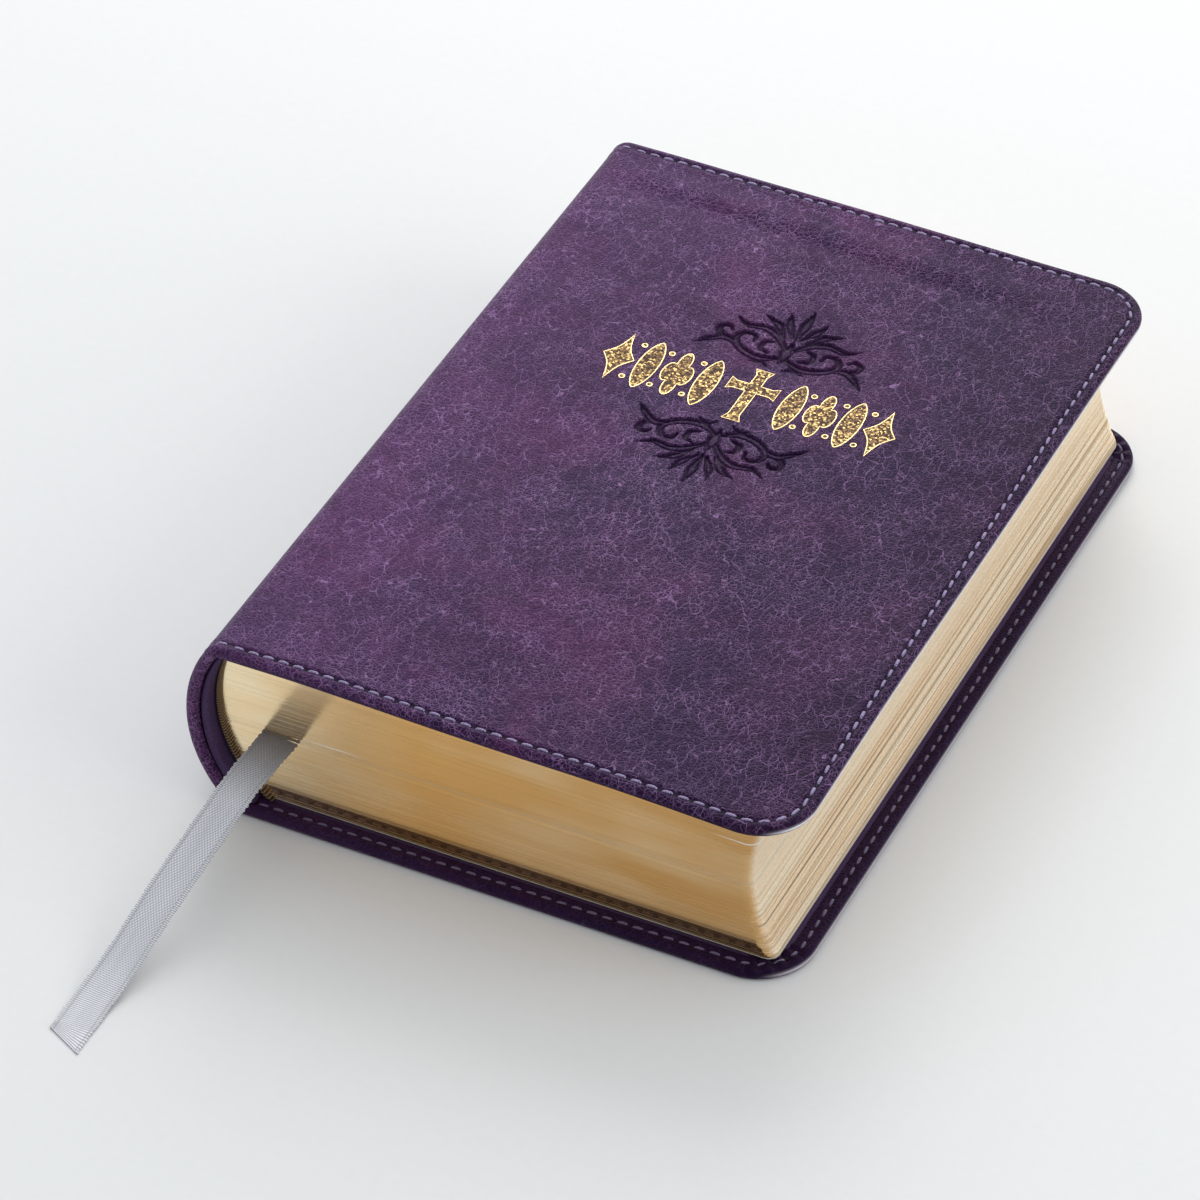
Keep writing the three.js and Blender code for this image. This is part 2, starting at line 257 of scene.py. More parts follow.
def from_corner(x, y):
    """The place of points seen from the centre of the nearer round corner, and their direction there."""
    u = x - (FORE_X - COVER_CORNER)
    v = np.abs(y) - (HALF_HEIGHT - COVER_CORNER)
    return u, v, np.arctan2(np.maximum(v, 0.01), np.maximum(u, 0.01))


def pleats(x, y, inset):
    """The gathered turn-in at the round corners: small radial folds on the inner face."""
    u, v, angle = from_corner(x, y)
    at_corner = smoothstep(0.0, 2.5, u) * smoothstep(0.0, 2.5, v)
    return at_corner * smoothstep(0.15, 1.2, inset) * 0.42 * (1 - 1.6 * np.abs(np.sin(angle * CORNER_FOLDS)))


def fold_shade(points):
    """1 in the valleys between the folds at the round corners."""
    u, v, angle = from_corner(points[:, 0], points[:, 1])
    return (u > 0.5) * (v > 0.5) * smoothstep(0.45, 0.9, np.abs(np.sin(angle * CORNER_FOLDS)))


def painted_rim_highlight(points, z):
    """1 along the outermost line of the fore edge, where a pale highlight is painted on the turned edge."""
    u, v, _ = from_corner(points[:, 0], points[:, 1])
    corner = (u > 0) & (v > 0)
    out = np.where(corner, np.hypot(u, v) - COVER_CORNER, np.maximum(u, v) - COVER_CORNER)
    facing = np.where(corner, u / np.maximum(np.hypot(u, v), 0.01), (u > v).astype(float))
    near = smoothstep(0.75, 0.30, np.abs(points[:, 2] - z))
    return smoothstep(-0.10, -0.01, out) * smoothstep(0.40, 0.90, facing) * near


def leather_sheet(columns, rows, has_fore_edge, height):
    """The points and faces of a closed leather sheet. columns are x, z and outward normal across the
    book; rows are y. height(x, y, inset) moves the outer face in or out."""
    column_count, row_count = len(columns), len(rows)
    x, y = np.meshgrid(columns[:, 0], rows)
    z = np.broadcast_to(columns[:, 1], x.shape)
    nx = np.broadcast_to(columns[:, 2], x.shape)
    nz = np.broadcast_to(columns[:, 3], x.shape)
    fore_inset = FORE_X - x if has_fore_edge else np.full_like(x, 99.0)
    inset = np.minimum(fore_inset, HALF_HEIGHT - np.abs(y))
    if has_fore_edge:
        px, py, ox, oy = round_corners(x, y)
    else:
        px, py, ox, oy = x, y, np.zeros_like(x), np.sign(y)
    lift = height(px, py, inset)
    outer = np.stack([px + nx * lift, py, z + nz * lift], -1)
    points = [outer.reshape(-1, 3)]
    faces = quads(row_count, column_count)

    # the loop round the open sides: along the tail, up the fore edge and back along the head
    loop = [(0, j) for j in range(column_count)]
    if has_fore_edge:
        loop += [(i, column_count - 1) for i in range(1, row_count - 1)]
        loop += [(row_count - 1, j) for j in range(column_count - 1, -1, -1)]
        runs = [loop]
    else:
        runs = [loop, [(row_count - 1, j) for j in range(column_count - 1, -1, -1)]]
    next_index = row_count * column_count
    inner_loops = []
    edge_loops = []
    for run in runs:
        ri = np.array([i for i, _ in run])
        ci = np.array([j for _, j in run])
        start = np.stack([px[ri, ci], py[ri, ci], z[ri, ci]], -1)
        out = np.stack([ox[ri, ci], oy[ri, ci], np.zeros(len(run))], -1)
        inward = -np.stack([nx[ri, ci], np.zeros(len(run)), nz[ri, ci]], -1)
        previous = ri * column_count + ci
        columns_of_edge = [previous]
        for edge_inset, depth in EDGE_PROFILE:
            ring = start + out * (EDGE_ROUND - edge_inset) + inward * depth
            if has_fore_edge and depth > 1.0:
                ring = ring - inward * pleats(ring[:, 0], ring[:, 1], np.full(len(run), edge_inset))[:, None]
            points.append(ring)
            current = next_index + np.arange(len(run))
            next_index += len(run)
            for k in range(len(run) - 1):
                faces.append((previous[k + 1], previous[k], current[k], current[k + 1]))
            previous = current
            columns_of_edge.append(current)
        inner_loops.append(previous)
        edge_loops.append(columns_of_edge)

    # the inner face, from the tail's turn-in to the head's
    inner = inner_loops[0] if has_fore_edge else np.concatenate(inner_loops)
    tail = inner[:column_count]
    head = inner[::-1][:column_count]
    for j in range(column_count - 1):
        faces.append((tail[j + 1], tail[j], head[j], head[j + 1]))
    if has_fore_edge:
        faces.append(tuple(inner[column_count - 1:len(inner) - column_count + 1][::-1]))

    # the cut ends, where this sheet meets its neighbour
    def end_cap(column, flip):
        outline = [i * column_count + column for i in range(row_count)]
        head_edge = edge_loops[-1]
        head_place = -1 if column == 0 else 0
        tail_place = 0 if column == 0 else column_count - 1
        outline += [ring[head_place] for ring in head_edge[1:]]
        outline += [ring[tail_place] for ring in edge_loops[0][:0:-1]]
        faces.append(tuple(outline[::-1] if flip else outline))

    end_cap(0, False)
    if not has_fore_edge:
        end_cap(column_count - 1, True)
    return np.concatenate(points), faces


# ---- materials ----
class Nodes:
    """A short way to build a material's node tree. Lengths in the textures are per millimetre."""

    def __init__(self, name):
        self.material = bpy.data.materials.new(name)
        self.material.use_nodes = True
        self.tree = self.material.node_tree
        self.shader = self.tree.nodes["Principled BSDF"]
        self.object_mm = self.scaled((1 / MM,) * 3)

    def add(self, kind, inputs=None, **settings):
        node = self.tree.nodes.new(kind)
        for key, value in settings.items():
            setattr(node, key, value)
        for key, value in (inputs or {}).items():
            self.put(node.inputs[key], value)
        return node

    def put(self, socket, value):
        if isinstance(value, bpy.types.NodeSocket):
            self.tree.links.new(value, socket)
        else:
            socket.default_value = value

    def mapped(self, vector, scale=(1, 1, 1), turn=(0, 0, 0)):
        inputs = {"Vector": vector, "Scale": scale, "Rotation": turn}
        return self.add("ShaderNodeMapping", inputs).outputs["Vector"]

    def scaled(self, scale, turn=(0, 0, 0)):
        return self.mapped(self.add("ShaderNodeTexCoord").outputs["Object"], scale, turn)

    def noise(self, vector, scale, detail=3.0, rough=0.5, distortion=0.0, output="Fac"):
        inputs = {"Vector": vector, "Scale": scale, "Detail": detail, "Roughness": rough,
                  "Distortion": distortion}
        return self.add("ShaderNodeTexNoise", inputs).outputs[output]

    def stretched_noise(self, along, height, detail, rough):
        """Noise drawn out along the book, for what runs with the leaves."""
        return self.noise(self.scaled((along / MM, along / MM, height / MM)), 1.0, detail, rough)

    def cell_gap(self, vector, scale):
        """The distance from the borders between cells."""
        inputs = {"Vector": vector, "Scale": scale}
        return self.add("ShaderNodeTexVoronoi", inputs, feature="DISTANCE_TO_EDGE").outputs["Distance"]

    def cell_tone(self, vector, scale):
        """One random value for each cell."""
        cells = self.add("ShaderNodeTexVoronoi", {"Vector": vector, "Scale": scale})
        return self.channel(cells.outputs["Color"], "Red")

    def wave(self, vector, scale, distortion, direction="X"):
        inputs = {"Vector": vector, "Scale": scale, "Distortion": distortion}
        return self.add("ShaderNodeTexWave", inputs, bands_direction=direction).outputs["Fac"]

    def channel(self, colour, name):
        return self.add("ShaderNodeSeparateColor", {"Color": colour}).outputs[name]

    def axis(self, vector, name):
        return self.add("ShaderNodeSeparateXYZ", {"Vector": vector}).outputs[name]

    def attribute(self, name):
        return self.add("ShaderNodeAttribute", attribute_name=name).outputs["Fac"]

    def ramp(self, value, *stops):
        node = self.add("ShaderNodeValToRGB", {"Fac": value})
        elements = node.color_ramp.elements
        while len(elements) < len(stops):
            elements.new(0.5)
        for element, (position, colour) in zip(elements, stops):
            element.position = position
            element.color = (*colour, 1)
        return node.outputs["Color"]

    def spread(self, value, low, high, to_low=0.0, to_high=1.0):
        return self.add("ShaderNodeMapRange", {"Value": value, "From Min": low, "From Max": high,
                                               "To Min": to_low, "To Max": to_high}).outputs["Result"]

    def mix(self, factor, a, b, blend="MIX"):
        node = self.add("ShaderNodeMix", data_type="RGBA", blend_type=blend)
        self.put(node.inputs["Factor"], factor)
        self.put(node.inputs["A"], a if not hasattr(a, "__len__") else (*a, 1))
        self.put(node.inputs["B"], b if not hasattr(b, "__len__") else (*b, 1))
        return node.outputs["Result"]

    def math(self, operation, a, b=0.0):
        node = self.add("ShaderNodeMath", operation=operation)
        for socket, value in zip(node.inputs, (a, b)):
            self.put(socket, value)
        return node.outputs["Value"]

    def plus(self, a, b):
        return self.math("ADD", a, b)

    def times(self, a, b):
        return self.math("MULTIPLY", a, b)

    def bump(self, height, distance, strength):
        inputs = {"Height": height, "Distance": distance * MM, "Strength": strength}
        return self.add("ShaderNodeBump", inputs).outputs["Normal"]

    def finish(self, colour, roughness, normal=None, **fixed):
        self.put(self.shader.inputs["Base Color"], colour)
        self.put(self.shader.inputs["Roughness"], roughness)
        if normal is not None:
            self.put(self.shader.inputs["Normal"], normal)
        for key, value in fixed.items():
            self.shader.inputs[key.replace("_", " ")].default_value = value
        return self.material


def leather_material():
    """Pull-up imitation leather: dark purple and mottled, with a pebble grain and thin pale creases."""
    n = Nodes("purple_leather")
    indigo, plum, berry = (0.026, 0.012, 0.054), (0.041, 0.011, 0.059), (0.086, 0.019, 0.088)
    slate, pore, hollow = (0.037, 0.024, 0.078), (0.016, 0.007, 0.026), (0.012, 0.005, 0.020)
    shade, painted_spine_light, vein = (0.010, 0.004, 0.017), (0.150, 0.055, 0.170), (0.300, 0.165, 0.350)
    pressed_and_shade_tone, rim_highlight_tone = (0.010, 0.004, 0.019), (0.90, 0.86, 0.93)
    drift = n.noise(n.object_mm, 0.30, 2.0, output="Color")

    def drifted(reach):
        return n.mix(1.0, n.object_mm, n.mix(1.0, drift, (reach,) * 3, "MULTIPLY"), "ADD")

    place, near_place = drifted(2.6), drifted(1.2)
    stretched = n.mapped(place, (0.44, 0.17, 0.3), (0, 0, 0.55))
    patches = n.noise(n.object_mm, 0.036, 4.0, 0.55, 0.5)
    cloud = n.noise(n.object_mm, 0.11, 4.0, 0.6, 0.8)
    worn_patch = n.channel(n.noise(n.object_mm, 0.075, 3.0, 0.6, 1.2, "Color"), "Green")
    speck = n.noise(n.object_mm, 2.6, 3.0, 0.6)
    fine = n.cell_gap(near_place, 1.22)
    pebble = n.cell_tone(near_place, 1.22)
    wide = n.cell_gap(place, 0.33)
    long = n.cell_gap(stretched, 1.0)
    base = n.ramp(patches, (0.36, indigo), (0.5, plum), (0.62, berry))
    mottled = n.mix(n.spread(cloud, 0.45, 0.7, 0.0, 0.45), base, slate)
    mottled = n.mix(n.spread(speck, 0.32, 0.6, 0.45, 0.0), mottled, pore)
    across = n.axis(n.object_mm, "X")
    # Painted shade: the leather darkens towards the fore edge.
    mottled = n.mix(n.spread(across, -5, 55, 0.0, 0.70), mottled, shade)
    # Painted highlight: the leather grows lighter towards the spine.
    mottled = n.mix(n.spread(across, -58, -5, 0.38, 0.0), mottled, painted_spine_light)
    mottled = n.mix(n.spread(pebble, 0.0, 1.0, 0.0, 0.38), mottled, hollow)
    # This attribute darkens the stamped ornament, and also carries painted shade: in the stitch groove, on
    # the turned-in edges and undersides, and over the whole inside face of the back cover.
    pressed_and_shade = n.attribute("pressed_and_shade")
    flat = n.math("SUBTRACT", 1.0, n.math("MINIMUM", pressed_and_shade, 1.0))
    creased = n.spread(worn_patch, 0.38, 0.62, 0.28, 0.95)
    # The pale creases also thin out towards the fore edge, which adds to that painted shade.
    creased = n.times(creased, n.spread(across, 0, 58, 1.0, 0.62))
    crack = 0.0
    creases = ((fine, 0.062, creased), (wide, 0.017, n.spread(speck, 0.4, 0.6, 0.1, 0.8)),
               (long, 0.020, n.spread(cloud, 0.35, 0.6, 0.2, 1.0)))
    for gap, width, share in creases:
        line = n.times(n.spread(gap, 0.0, width, 1.0, 0.0), share)
        crack = n.math("MAXIMUM", crack, line)
    crack = n.times(crack, flat)
    veined = n.mix(crack, mottled, vein)
    colour = n.mix(n.times(pressed_and_shade, 0.85), veined, pressed_and_shade_tone)
    # Painted highlight: a pale line along the outermost rim of the fore edge.
    rim_light = n.attribute("painted_rim_highlight")
    colour = n.mix(rim_light, colour, rim_highlight_tone)
    pebbles = n.math("MINIMUM", fine, 0.24)
    height = n.plus(n.times(pebbles, 2.2), n.times(speck, 0.45))
    height = n.times(height, n.spread(flat, 0.0, 1.0, 0.25, 1.0))
    normal = n.bump(height, 0.20, 1.0)
    roughness = n.spread(cloud, 0.3, 0.75, 0.36, 0.48)
    return n.finish(colour, roughness, normal, Specular_IOR_Level=0.11, Specular_Tint=(0.62, 0.40, 0.80, 1))


def lining_material():
    n = Nodes("purple_lining")
    fuzz = n.noise(n.object_mm, 4.0, 4.0, 0.7)
    cloud = n.noise(n.object_mm, 0.25, 3.0)
    colour = n.mix(n.spread(fuzz, 0.3, 0.7), (0.034, 0.018, 0.055), (0.105, 0.062, 0.155))
    colour = n.mix(n.spread(cloud, 0.3, 0.7, 0.0, 0.3), colour, (0.05, 0.02, 0.08))
    return n.finish(colour, 0.9, n.bump(fuzz, 0.12, 0.8), Specular_IOR_Level=0.2)


def gilt_material():
    """Burnished gilt edges: like a soft mirror at the tail and head, more broken along the fore edge."""
    n = Nodes("gilt_edge")
    deep_gold, bright_gold, shaded_gold = (0.80, 0.41, 0.115), (1.0, 0.62, 0.24), (0.62, 0.36, 0.14)
    pale_gold, fore_dark, fore_light = (1.0, 0.83, 0.55), (1.0, 0.80, 0.57), (1.0, 0.91, 0.72)
    grit, gap_shade_tone, bare_paper = (0.55, 0.38, 0.21), (0.44, 0.27, 0.13), (0.95, 0.94, 0.90)
    leaf_lines = n.stretched_noise(0.012, 9.0, 3.0, 0.7)
    bands = n.stretched_noise(0.008, 1.3, 2.0, 0.5)
    flecks = n.stretched_noise(0.5, 14.0, 3.0, 0.6)
    sand = n.noise(n.object_mm, 3.4, 3.0, 0.7)
    wear = n.stretched_noise(0.030, 0.10, 2.0, 0.5)
    towards_ends = n.axis(n.add("ShaderNodeNewGeometry").outputs["True Normal"], "Y")
    fore = n.spread(n.math("ABSOLUTE", towards_ends), 0.35, 0.85, 1.0, 0.0)
    across = n.axis(n.object_mm, "X")
    above = n.axis(n.object_mm, "Z")
    # Painted reflection: the tail's gilt grows pale towards the spine, where it mirrors the bright
    # surroundings; the wear noise adds paler patches on top.
    pale = n.plus(n.spread(across, -58, -14, 0.95, 0.0), n.spread(wear, 0.45, 0.7, 0.0, 0.35))
    gold = n.mix(n.spread(leaf_lines, 0.3, 0.7), deep_gold, bright_gold)
    # Painted shade: the tail's gilt darkens towards the fore edge.
    gold = n.mix(n.spread(across, -20, 45, 0.0, 0.75), gold, shaded_gold)
    gold = n.mix(pale, gold, pale_gold)
    fore_gold = n.mix(n.spread(bands, 0.35, 0.65), fore_dark, fore_light)
    fore_gold = n.mix(n.spread(sand, 0.35, 0.65, 0.45, 0.0), fore_gold, grit)
    # Painted shade: dark lines in the gaps between groups of leaves on the fore edge, stronger towards the
    # bottom.
    gaps = n.stretched_noise(0.006, 2.6, 2.0, 0.6)
    gap_shade = n.times(n.spread(gaps, 0.50, 0.62), n.spread(above, 18, 7, 0.04, 0.75))
    fore_gold = n.mix(gap_shade, fore_gold, gap_shade_tone)
    colour = n.mix(fore, gold, fore_gold)
    bare = n.attribute("bare")
    colour = n.mix(bare, colour, bare_paper)
    lines = n.plus(leaf_lines, n.times(flecks, 0.4))
    lines = n.plus(lines, n.times(sand, n.times(fore, 2.0)))
    normal = n.bump(lines, 0.03, n.spread(fore, 0.0, 1.0, 0.12, 0.85))
    roughness = n.spread(fore, 0.0, 1.0, 0.16, 0.50)
    metal = n.times(n.spread(fore, 0.0, 1.0, 0.94, 0.55), n.spread(bare, 0.0, 1.0, 1.0, 0.2))
    n.put(n.shader.inputs["Metallic"], metal)
    return n.finish(colour, roughness, normal)


def paper_material():
    n = Nodes("bible_paper")
    fibre = n.noise(n.object_mm, 1.2, 4.0, 0.6)
    colour = n.mix(fibre, (0.84, 0.79, 0.67), (0.92, 0.88, 0.78))
    return n.finish(colour, 0.85, n.bump(fibre, 0.02, 0.5))


def thread_material(name, dark, light):
    n = Nodes(name)
    twist = n.wave(n.scaled((1 / MM,) * 3, (0.3, 0.5, 0.8)), 1.6, 1.0)
    colour = n.mix(twist, dark, light)
    return n.finish(colour, 0.45, n.bump(twist, 0.06, 0.8), Sheen_Weight=0.3)


def hole_shade_material():
    # Painted shade: near-black, for the dark inside of each needle hole.
    n = Nodes("needle_hole")
    shade = n.noise(n.object_mm, 3.0)
    return n.finish(n.mix(shade, (0.006, 0.003, 0.009), (0.016, 0.008, 0.022)), 0.8)


def foil_material():
    """Stamped antique foil: each small facet gets its own painted brightness, as if it caught the light
    differently; the rims are coloured bright gold.
    """
    n = Nodes("gold_foil")
    facet = n.cell_tone(n.object_mm, 2.7)
    crack = n.cell_gap(n.object_mm, 2.7)
    rim = n.attribute("outline")
    body = n.ramp(facet, (0.30, (0.028, 0.016, 0.010)), (0.70, (0.13, 0.075, 0.024)),
                  (0.98, (0.50, 0.34, 0.13)))
    body = n.mix(n.spread(crack, 0.0, 0.08, 0.8, 0.0), body, (0.06, 0.035, 0.03))
    colour = n.mix(rim, body, (0.74, 0.56, 0.28))
    return n.finish(colour, n.spread(facet, 0.0, 1.0, 0.5, 0.25), n.bump(crack, 0.10, 0.7), Metallic=0.95)


def band_material():
    """The end band: dark silk crossed by slanting gold threads."""
    n = Nodes("band_silk")
    slant = n.scaled((0.6 / MM, 0.0, 1 / MM), (0, 0.35, 0))
    stripes = n.wave(slant, 0.55, 0.6, "Z")
    colour = n.mix(n.spread(stripes, 0.6, 0.9), (0.030, 0.015, 0.012), (0.30, 0.17, 0.06))
    return n.finish(colour, 0.55, n.bump(stripes, 0.15, 0.7))


def satin_material():
    """Woven satin ribbon: slanting twill between two thick selvedges, with weft ribs towards its end."""
    n = Nodes("grey_satin")
    uv = n.add("ShaderNodeUVMap", uv_map="weave").outputs["UV"]
    slant = math.radians(36)
    rising = n.wave(n.mapped(uv, turn=(0, 0, slant)), 0.62, 0.6)
    falling = n.wave(n.mapped(uv, turn=(0, 0, -slant)), 0.62, 0.6)
    twill = n.plus(n.times(rising, 0.62), n.times(falling, 0.38))
    ribs = n.wave(uv, 0.74, 0.8, "Y")
    along = n.axis(uv, "Y")
    sheen = n.noise(n.mapped(uv, (0.5, 0.06, 1)), 1.0, 2.0)
    edge = n.attribute("selvedge")
    weave = n.mix(n.math("MAXIMUM", edge, n.spread(along, 44, 58, 0.0, 0.85)), twill, ribs)
    colour = n.mix(n.spread(weave, 0.0, 1.0), (0.335, 0.34, 0.395), (0.95, 0.96, 1.0))
    colour = n.mix(n.spread(sheen, 0.35, 0.65, 0.0, 0.32), colour, (0.46, 0.48, 0.53))
    # Painted shade: the ribbon darkens over its first 16 mm out of the pages, under the cover.
    colour = n.mix(n.spread(along, 0, 16, 0.92, 0.0), colour, (0.10, 0.085, 0.085))
    seam = n.times(edge, n.math("SUBTRACT", 1.0, edge))
    colour = n.mix(n.times(seam, 1.5), colour, (0.20, 0.19, 0.24))
    return n.finish(colour, 0.38, n.bump(weave, 0.09, 0.8), Sheen_Weight=0.15, Anisotropic=0.3)


def plain_material(name, dark, light, scale, roughness):
    """A dull fibrous material for pieces inside the book."""
    n = Nodes(name)
    fibre = n.noise(n.object_mm, scale, 4.0, 0.65)
    return n.finish(n.mix(fibre, dark, light), roughness, n.bump(fibre, 0.08, 0.6))


LEATHER = leather_material()
LINING = lining_material()
GILT = gilt_material()
PAPER = paper_material()
THREAD = thread_material("lavender_thread", (0.13, 0.09, 0.21), (0.46, 0.37, 0.64))
# The same lavender thread with painted shade, for the back cover's stitches.
SHADED_THREAD = thread_material("lavender_thread_in_shade", (0.05, 0.03, 0.09), (0.20, 0.15, 0.30))
HOLE_SHADE = hole_shade_material()
FOIL = foil_material()
BAND = band_material()
SATIN = satin_material()
BOARD = plain_material("grey_board", (0.20, 0.19, 0.17), (0.32, 0.31, 0.28), 2.0, 0.9)
MULL = plain_material("cotton_mull", (0.42, 0.39, 0.33), (0.58, 0.55, 0.48), 3.0, 0.95)


# ---- ribbon marker ----
RIBBON_WIDTH = 7.4
RIBBON_THICKNESS = 0.2
LOOP_PITCH = 1.1
TAIL_WAVE = 0.18
CUT_SLANT = -1.9
FLOOR_GAP = 0.02
RIBBON_EXIT = (-42.1, -80.1, 18.45)
RIBBON_ROUTE = [
    RIBBON_EXIT,
    (-43.3, RIBBON_EXIT[1] - 9.7, 17.0),
    (-44.1, RIBBON_EXIT[1] - 15.6, 15.4),
    (-45.2, RIBBON_EXIT[1] - 23.3, 12.6),
    (-46.8, RIBBON_EXIT[1] - 33.5, 8.3),
    (-48.0, RIBBON_EXIT[1] - 43.5, 4.4),
    (-48.8, RIBBON_EXIT[1] - 51.0, 1.9),
    (-49.3, RIBBON_EXIT[1] - 58.0, 0.5),
    (-49.2, RIBBON_EXIT[1] - 67.5, 0.15),
]


def smooth_route(points, step):
    """A smooth line through the points (Catmull-Rom), at roughly equal steps."""
    p = np.array(points, float)
    p = np.vstack([2 * p[0] - p[1], p, 2 * p[-1] - p[-2]])
    line = []
    for a, b, c, d in zip(p, p[1:], p[2:], p[3:]):
        count = max(2, round(np.linalg.norm(c - b) / step))
        t = np.linspace(0, 1, count, endpoint=False)[:, None]
        line.append(0.5 * (2 * b + (c - a) * t + (2 * a - 5 * b + 4 * c - d) * t ** 2
                           + (3 * b - a - 3 * c + d) * t ** 3))
    line.append(p[-2][None])
    return np.concatenate(line)


def ribbon_strip(name, line, wave, slant):
    """A woven strip along a line. Its edges carry thick selvedges with small loops. wave is how far it
    ripples, and slant how far the corners of its cut end lie before and behind the middle."""
    half = RIBBON_WIDTH / 2
    reach_out = np.array([0.2, 0.5, 0.76, 0.80, 0.84, 0.87, 0.91, 0.95, 0.98, 1.0])
    bead_out = np.array([0, 0, 0, -0.03, 0.05, 0.10, 0.12, 0.09, 0.04, 0.0])
    across = np.concatenate([-reach_out[::-1], reach_out])
    bead = np.concatenate([bead_out[::-1], bead_out])
    rows, columns = len(line), len(across)
    along = np.concatenate([[0], np.cumsum(np.linalg.norm(np.diff(line, axis=0), axis=1))])
    tangent = np.gradient(line, axis=0)
    tangent /= np.linalg.norm(tangent, axis=1)[:, None]
    side = np.cross(tangent, (0, 0, 1))
    side /= np.linalg.norm(side, axis=1)[:, None]
    up = np.cross(side, tangent)
    loops = 0.11 * np.sin(along * 2 * math.pi / LOOP_PITCH) * (1 + 0.6 * np.sin(along * 1.7))
    loops += 0.06 * np.sin(along * 0.9)
    points, uvs = [], []
    for face in (1, -1):
        for i in range(rows):
            for u, thick in zip(across, bead):
                shift = slant * u * smoothstep(along[-1] - 4, along[-1], along[i])
                reach = half * u + np.sign(u) * (loops[i] if abs(u) > 0.9 else 0)
                lift = wave * math.sin(along[i] / 5.1 + u * 0.9) * smoothstep(4, 20, along[i])
                height = face * (RIBBON_THICKNESS / 2 + thick) + lift * (1 - smoothstep(48, 62, along[i]))
                points.append(line[i] + side[i] * reach + up[i] * height + tangent[i] * shift)
                uvs.append((half * u, along[i]))
    faces = turned_over(quads(rows, columns)) + quads(rows, columns, rows * columns)
    lower = rows * columns
    near_side = [i * columns for i in range(rows)]
    far_side = [i * columns + columns - 1 for i in range(rows)]
    start = list(range(columns))
    end = [(rows - 1) * columns + j for j in start]
    for border in (near_side, far_side[::-1], start[::-1], end):
        faces += [(a, b, b + lower, a + lower) for a, b in zip(border, border[1:])]
    points = np.array(points)
    points[:, 2] = np.maximum(points[:, 2], FLOOR_GAP)
    piece = make_mesh(name, points, faces, SATIN)
    layer = piece.data.uv_layers.new(name="weave")
    for item in piece.data.loops:
        layer.data[item.index].uv = uvs[item.vertex_index]
    add_attribute(piece, "selvedge", np.tile(smoothstep(0.76, 0.84, np.abs(across)), 2 * rows))
    return piece


def make_ribbon():
    line = smooth_route(RIBBON_ROUTE, 0.3)
    tail = ribbon_strip("ribbon_marker_tail", line, TAIL_WAVE, CUT_SLANT)
    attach(tail, "rear_half")
    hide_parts("ribbon_tail")
    low, high = corners("ribbon_inside")
    middle_z = (low[2] + high[2]) / 2
    head_x, tail_x = low[0] + RIBBON_WIDTH / 2, RIBBON_EXIT[0]
    straight = [(tail_x, RIBBON_EXIT[1], middle_z), (head_x, high[1], middle_z)]
    inside = ribbon_strip("ribbon_marker_inside", smooth_route(straight, 0.6), 0, 0)
    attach(inside, "rear_half")
    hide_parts("ribbon_inside")


make_camera()
make_ribbon()


# ---- covers and spine leather ----
FLOURISH_X = 3.3
FLOURISH_CLEAR_Y = 10.0
FLOURISH_SHIFT_X = 1.2
TITLE_Y = 21.9
CREASE_Y = 69.0
PRESSED_DEPTH = 0.62
EDGE_BAND = 3.4


def stroke(points, widths):
    """A tapering curved stroke as line points with a half-width each."""
    line = smooth_route(points, 0.35)
    at = np.linspace(0, 1, len(line))
    return line, np.interp(at, np.linspace(0, 1, len(widths)), widths)


def flourish_strokes():
    """An ornament of scrolls and leaves, drawn for one side and mirrored, rising from y = 0."""
    one_side = [
        stroke([(0, 3.2), (4, 1.3), (8, 2.2), (10.4, 4.6), (9.6, 7.0), (7.4, 7.2), (6.9, 5.5)],
               (0.35, 0.9, 1.0, 0.95, 0.8, 0.6, 0.35)),
        stroke([(8.8, 2.8), (12.0, 4.2), (14.4, 2.9), (17.2, 0.1)], (0.4, 1.0, 0.8, 0.1)),
        stroke([(11.8, 4.0), (14.0, 5.3), (14.3, 7.0), (12.8, 7.7), (11.9, 6.7)],
               (0.4, 0.7, 0.7, 0.55, 0.3)),
        stroke([(0, 4.8), (3.2, 8.4), (6.4, 10.0), (10.0, 9.5), (12.9, 11.2)],
               (0.5, 0.85, 1.0, 0.75, 0.1)),
        stroke([(2.4, 8.8), (4.7, 11.9), (8.0, 13.6)], (0.4, 1.0, 0.1)),
        stroke([(0.9, 9.6), (2.9, 13.0), (3.8, 16.2)], (0.4, 0.95, 0.1)),
        stroke([(3.2, 3.3), (5.0, 4.1), (5.0, 6.2), (3.4, 6.9)], (0.3, 0.65, 0.6, 0.3)),
        stroke([(1.6, -0.6), (3.0, 0.3), (5.6, -0.4)], (0.2, 0.55, 0.1)),
    ]
    middle = [
        stroke([(0, 9.0), (0, 13.0), (0, 18.6)], (0.3, 1.15, 0.1)),
        stroke([(0, 1.2), (0, 4.6), (0, 8.2)], (0.2, 1.35, 0.2)),
    ]
    mirrored = [(line * (-1, 1), width) for line, width in one_side]
    return one_side + mirrored + middle


def pressed_depth(x, y):
    """How deep the ornament is pressed at each point, from 0 to 1."""
    depth = np.zeros_like(x)
    for way in (1, -1):
        local_x = (x - FLOURISH_X + (0 if way > 0 else FLOURISH_SHIFT_X)) * way
        local_y = (y - TITLE_Y) * way - FLOURISH_CLEAR_Y
        near = (np.abs(local_x) < 19) & (local_y > -2.5) & (local_y < 20)
        lx, ly = local_x[near], local_y[near]
        best = np.full(lx.shape, -9.0)
        for line, width in flourish_strokes():
            distance = np.hypot(lx[:, None] - line[None, :, 0], ly[:, None] - line[None, :, 1])
            best = np.maximum(best, (width[None] - distance).max(axis=1))
        ridge = 0.55 * smoothstep(0.40, 0.66, best)
        depth[near] = np.maximum(depth[near], smoothstep(-0.10, 0.20, best) - ridge)
    return depth


